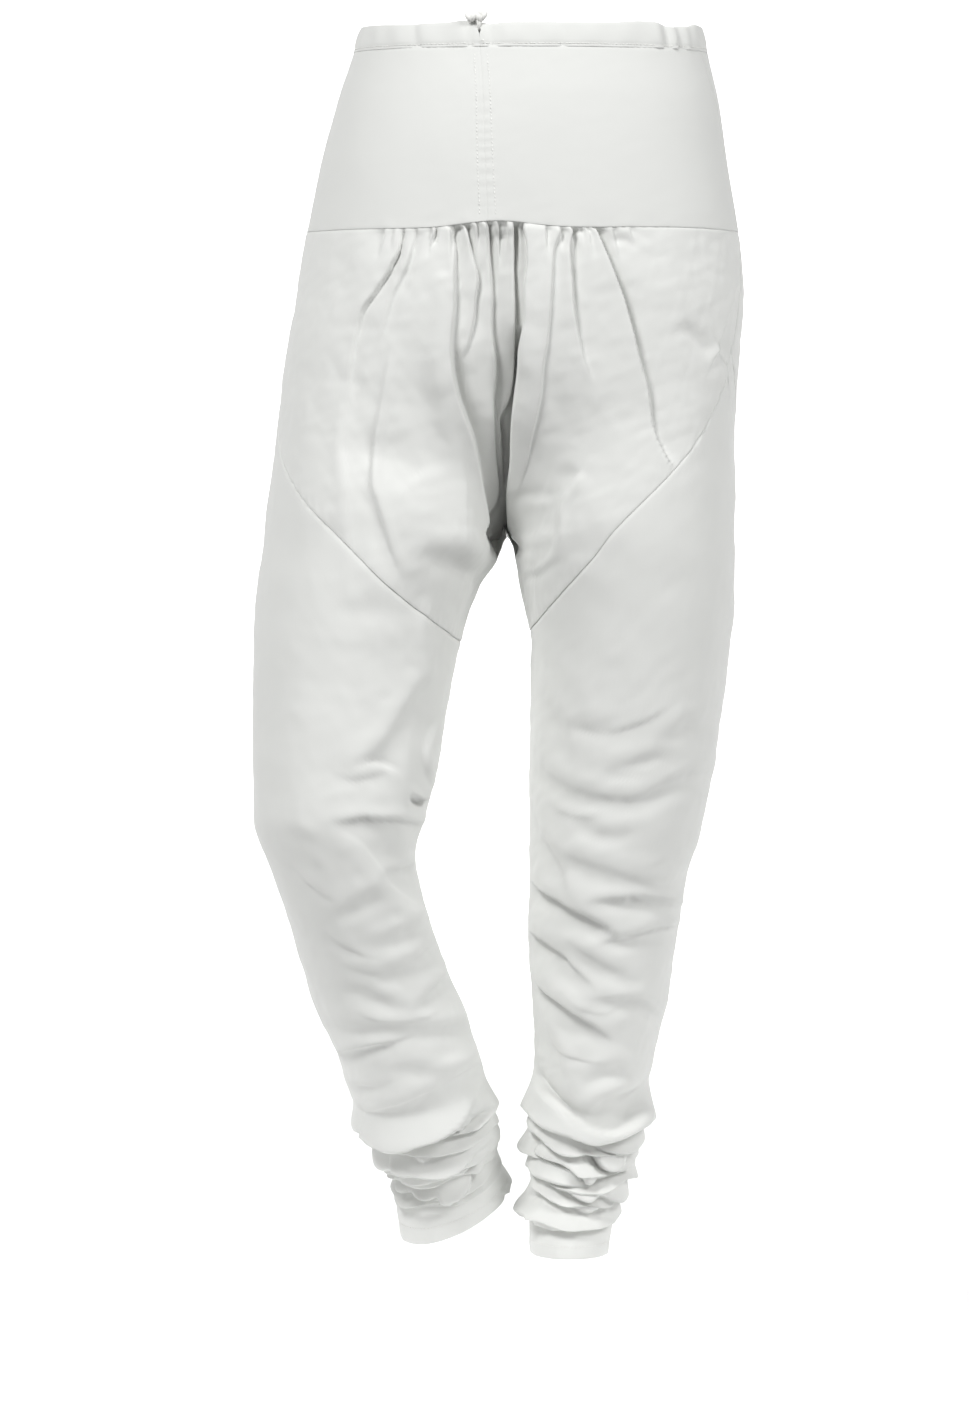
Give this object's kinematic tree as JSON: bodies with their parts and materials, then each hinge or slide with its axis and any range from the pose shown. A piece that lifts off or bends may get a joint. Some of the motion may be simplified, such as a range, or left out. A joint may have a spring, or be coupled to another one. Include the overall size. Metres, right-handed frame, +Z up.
{
  "type": "churidar trousers",
  "caption": "Churidar trousers shaped as worn: deep drawstring yoke, gathered upper panels, slanting seams and narrow legs stacked in soft bangles over the ankles.",
  "frame": {"origin": "centre of the waist opening, half-way up the waist casing", "axes": "+Z up, the front of the trousers towards -Y, the wearer's left towards +X"},
  "size_m": [0.3793, 0.2581, 0.9536],
  "materials": {
    "yoke_cotton": "matt off-white cotton twill, straight grain",
    "panel_cotton": "off-white cotton twill with a faint sheen",
    "leg_cotton": "off-white cotton twill cut on the bias, faint sheen",
    "drawstring_cotton": "soft white cotton cord"
  },
  "bodies": {
    "root": {"waist_casing": "yoke_cotton", "yoke_front_right": "yoke_cotton", "yoke_front_left": "yoke_cotton", "yoke_back": "yoke_cotton", "upper_front_right": "panel_cotton", "upper_front_left": "panel_cotton", "upper_back_right": "panel_cotton", "upper_back_left": "panel_cotton", "leg_right": "leg_cotton", "leg_left": "leg_cotton", "drawstring_knot": "drawstring_cotton"}
  },
  "joints": []
}
